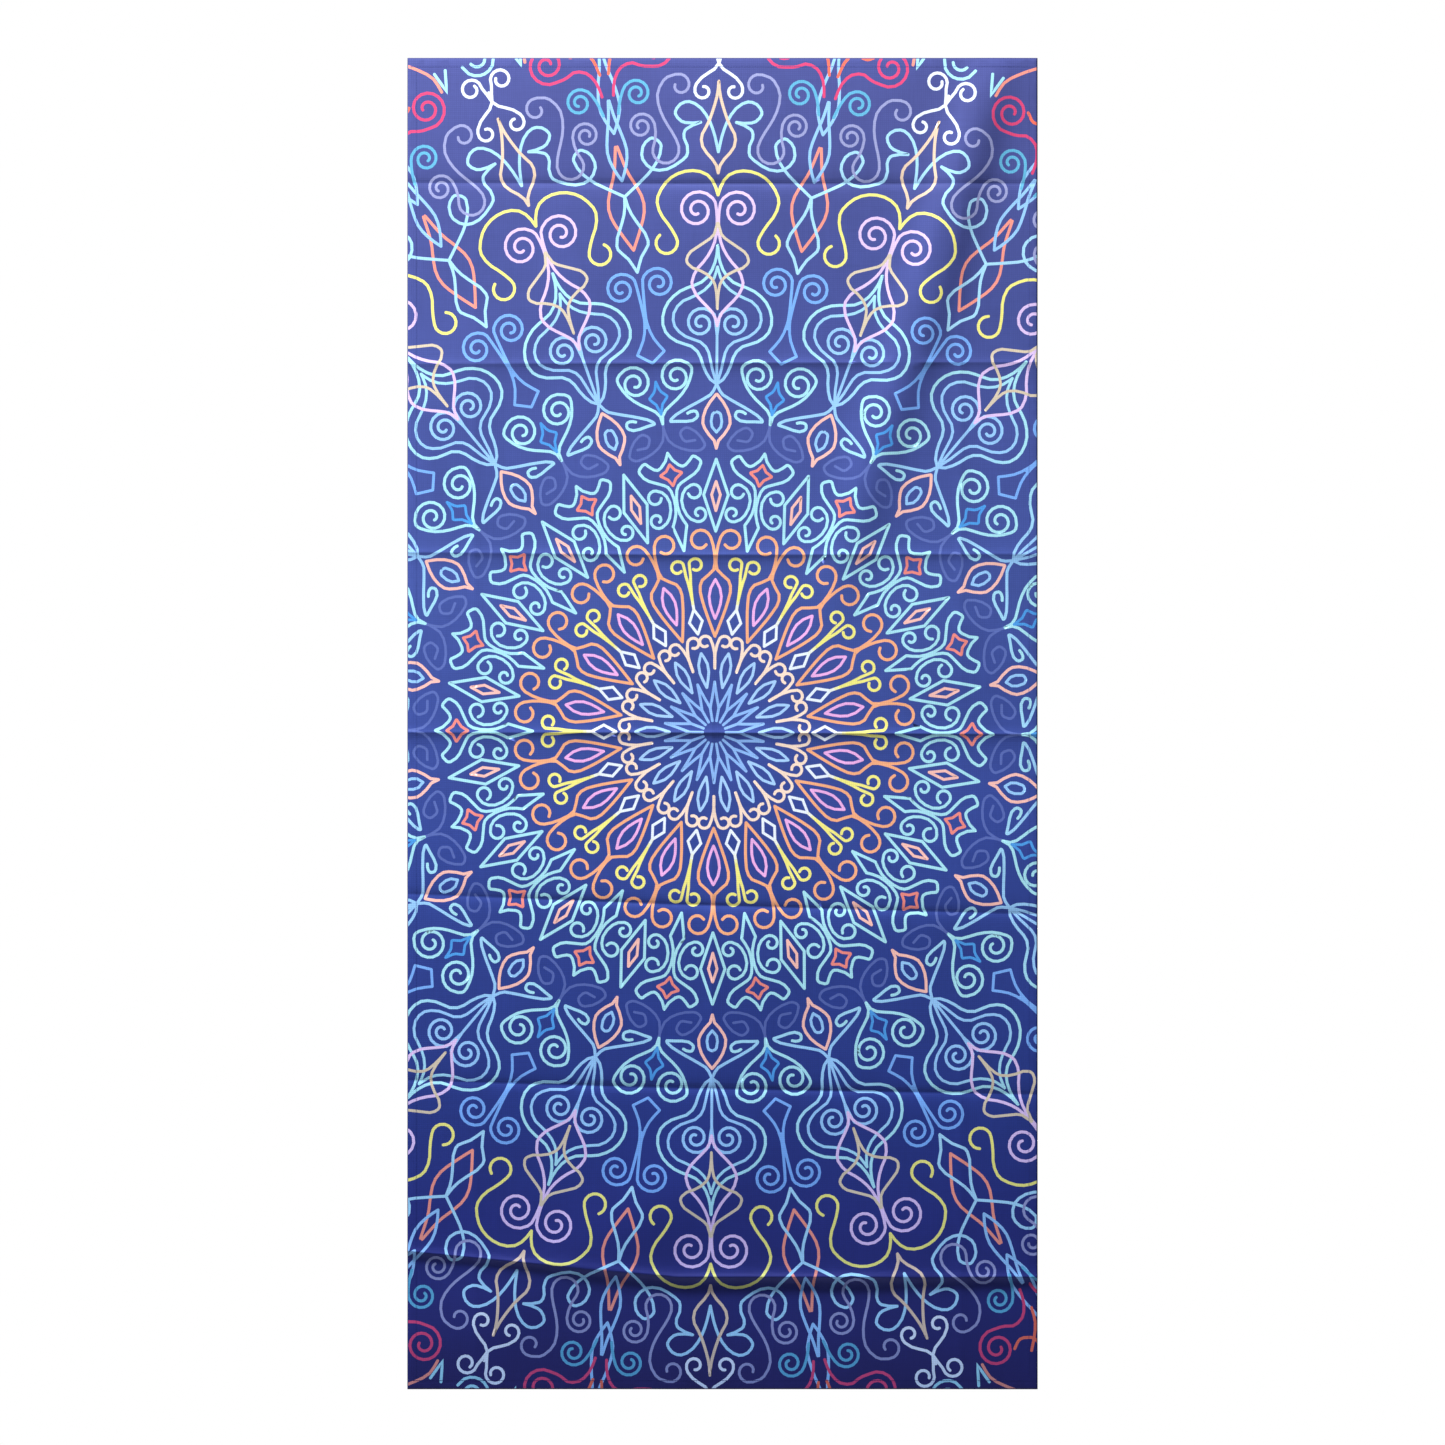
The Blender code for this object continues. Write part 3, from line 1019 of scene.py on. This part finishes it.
# Painted shade: the lines of dye are drawn darker and cooler over the lowest half metre, where less light
# falls.
parts = add(tree, "SeparateXYZ", {"Vector": place})
up = add(
    tree,
    "MapRange",
    {"Value": parts.outputs["Z"], "From Min": float(BOTTOM), "From Max": float(BOTTOM) + 0.5},
)
painted_bottom_shade = add(
    tree,
    "Mix",
    {"Factor": up.outputs["Result"], 6: (0.44, 0.56, 0.84, 1), 7: (1.0, 1.02, 1.1, 1)},
    data_type="RGBA",
)
dye_with_painted_shade = add(
    tree, "VectorMath", {0: dye.outputs["Color"], 1: painted_bottom_shade.outputs[2]}, operation="MULTIPLY"
)
line_colour = add(tree, "VectorMath", {0: dye_with_painted_shade.outputs["Vector"]}, operation="SCALE")
tree.links.new(strength.outputs["Result"], line_colour.inputs["Scale"])
printed = add(
    tree,
    "Mix",
    {"Factor": dye.outputs["Alpha"], 6: ground_with_shade, 7: line_colour.outputs["Vector"]},
    data_type="RGBA",
)
reverse = add(tree, "NewGeometry")
pale_part = add(
    tree, "Math", {0: reverse.outputs["Backfacing"], 1: 0.34}, operation="MULTIPLY"
)
either_side = add(
    tree,
    "Mix",
    {"Factor": pale_part.outputs["Value"], 6: printed.outputs[2], 7: (*linear("#C9CCDC"), 1)},
    data_type="RGBA",
)
finish_cloth(tree, shader, either_side.outputs[2], weave_height(tree, place), 0.5, 0.15, 0.6)
cloth_mesh.materials.append(panel_finish)

# %% Hems: the printed face turned to the back and pressed
# The pressing leaves the folded edges slightly shinier than the panel.
hem_finish, tree, shader = new_material("pressed_polyester_hem", 0.55, 0.25, 0.04, 0.45)
# The hem takes the ground's colour, with the same painted shade towards the bottom.
ground_with_shade, place = ground_and_painted_shade(tree)
finish_cloth(tree, shader, ground_with_shade, weave_height(tree, place), 0.4, 0.07, 0.55)
for side, band in hems.items():
    band.data.materials.clear()
    band.data.materials.append(hem_finish)

# %% Thread: spun polyester, twisted
# Matt and slightly hairy, dyed to match the ground that it lies on; the twist shows as fine bands.
thread_finish, tree, shader = new_material("spun_polyester_thread", 0.8, 0.15, 0.05, 0.5)
# The thread takes the ground's colour, with the same painted shade towards the bottom.
ground_with_shade, place = ground_and_painted_shade(tree)
twist = add(
    tree,
    "TexWave",
    {"Vector": place, "Scale": 0.314 / (0.7 * MM), "Distortion": 1.0},
    bands_direction="DIAGONAL",
)
ply = add(tree, "MapRange", {"Value": twist.outputs["Fac"], "To Min": 0.9, "To Max": 1.1})
spun = add(tree, "VectorMath", {0: ground_with_shade}, operation="SCALE")
tree.links.new(ply.outputs["Result"], spun.inputs["Scale"])
tree.links.new(spun.outputs["Vector"], shader.inputs["Base Color"])
twist_bump = add(tree, "Bump", {"Height": twist.outputs["Fac"], "Strength": 0.4, "Distance": 0.1 * MM})
tree.links.new(twist_bump.outputs["Normal"], shader.inputs["Normal"])
for pair in stitches.values():
    for row in pair:
        row.data.materials.append(thread_finish)
print("finishes:", [material.name for material in (panel_finish, hem_finish, thread_finish)])

# %% [markdown]
# ## Joining the pieces to the frame
#
# The imported model has two bodies, the upper and the lower half, joined at the middle fold. The top
# pieces ride on the upper half and the bottom ones on the lower. The cloth, the side hems and
# their stitches cross the fold; they are attached to neither half and stay where they are.


def join(piece, side, nodes):
    """Makes a piece stand for its CAD nodes, hiding them; a top or bottom piece moves with its half."""
    if side == "top":
        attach(piece, "upper_half")
    elif side == "bottom":
        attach(piece, "lower_half")
    else:
        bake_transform(piece)
    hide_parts(*nodes)


def hem_nodes(side):
    """The CAD names of a hem: one for the top and the bottom, two for a side."""
    if side in ("top", "bottom"):
        return [f"{side}_hem"]
    return [f"{side}_hem_upper", f"{side}_hem_lower"]


join(cloth, "both", ["cloth_upper", "cloth_lower"])
for side, band in hems.items():
    needle_row, bobbin_row = stitches[side]
    join(band, side, hem_nodes(side))
    join(needle_row, side, [f"{node}_needle_thread" for node in hem_nodes(side)])
    join(bobbin_row, side, [f"{node}_bobbin_thread" for node in hem_nodes(side)])

# %% [markdown]
# ## Floor, light and camera
#
# The panel hangs clear of a pale floor, under plain studio light: a small key light high on the
# left, which grazes the cloth so that the fold lines show, and a weaker light behind.

# %% Floor
bpy.ops.object.select_all(action="DESELECT")
bpy.ops.mesh.primitive_plane_add(size=1, location=(0, 0, 0))
floor = bpy.context.object
floor.name = "floor"
FLOOR_SIZE = (3.0, 2.4, 1)
CLEAR_OF_FLOOR = 1.6
floor.scale = FLOOR_SIZE
floor.location = (0, -0.5, BOTTOM - CLEAR_OF_FLOOR)
bpy.ops.object.transform_apply(location=True, rotation=True, scale=True)
floor_finish, tree, shader = new_material("painted_floor", 0.8, 0.2)
shader.inputs["Base Color"].default_value = (*linear("#E9E8E6"), 1)
floor.data.materials.append(floor_finish)

# %% Light
bpy.context.scene.view_settings.view_transform = "Standard"
bpy.context.scene.view_settings.look = "None"
world = bpy.data.worlds.new("studio")
world.use_nodes = True
bpy.context.scene.world = world
tree = world.node_tree
tree.nodes.clear()
seen = add(tree, "Background", {"Color": (1, 1, 1, 1), "Strength": 1.0})
fill = add(tree, "Background", {"Color": (*linear("#F4F6FF"), 1), "Strength": 0.17})
rays = add(tree, "LightPath")
to_camera = rays.outputs["Is Camera Ray"]
both = add(tree, "MixShader", {"Fac": to_camera, 1: fill.outputs[0], 2: seen.outputs[0]})
add(tree, "OutputWorld", {"Surface": both.outputs[0]})


def lamp(name, place, aim, size, power, colour):
    """A square soft light at a place, turned towards a point."""
    data = bpy.data.lights.new(name, "AREA")
    data.size = size
    data.energy = power
    data.color = linear(colour)
    light = bpy.data.objects.new(name, data)
    light.location = place
    light.rotation_euler = (Vector(aim) - Vector(place)).to_track_quat("-Z", "Y").to_euler()
    bpy.context.scene.collection.objects.link(light)


lamp("key", (-2.6, -1.35, 3.3), (0.0, 0.0, -0.75), 0.6, 785, "#FFFCF7")
lamp("rear", (1.8, 2.6, 1.6), (0.0, 0.0, -0.6), 1.6, 70, "#FFFFFF")

# %% Camera
DISTANCE = 6.0
SHARE_OF_HEIGHT = 0.921
PICTURE_HEIGHT = HEIGHT / SHARE_OF_HEIGHT
camera_data = bpy.data.cameras.new("camera")
camera_data.sensor_width = 36
camera_data.lens = 36 * DISTANCE / PICTURE_HEIGHT
camera = bpy.data.objects.new("camera", camera_data)
camera.location = (0, -DISTANCE, (TOP + BOTTOM) / 2 + 1.1 * MM)
camera.rotation_euler = (math.pi / 2, 0, 0)
bpy.context.scene.collection.objects.link(camera)
bpy.context.scene.camera = camera
print(f"lens {camera_data.lens:.1f} mm at {DISTANCE} m")
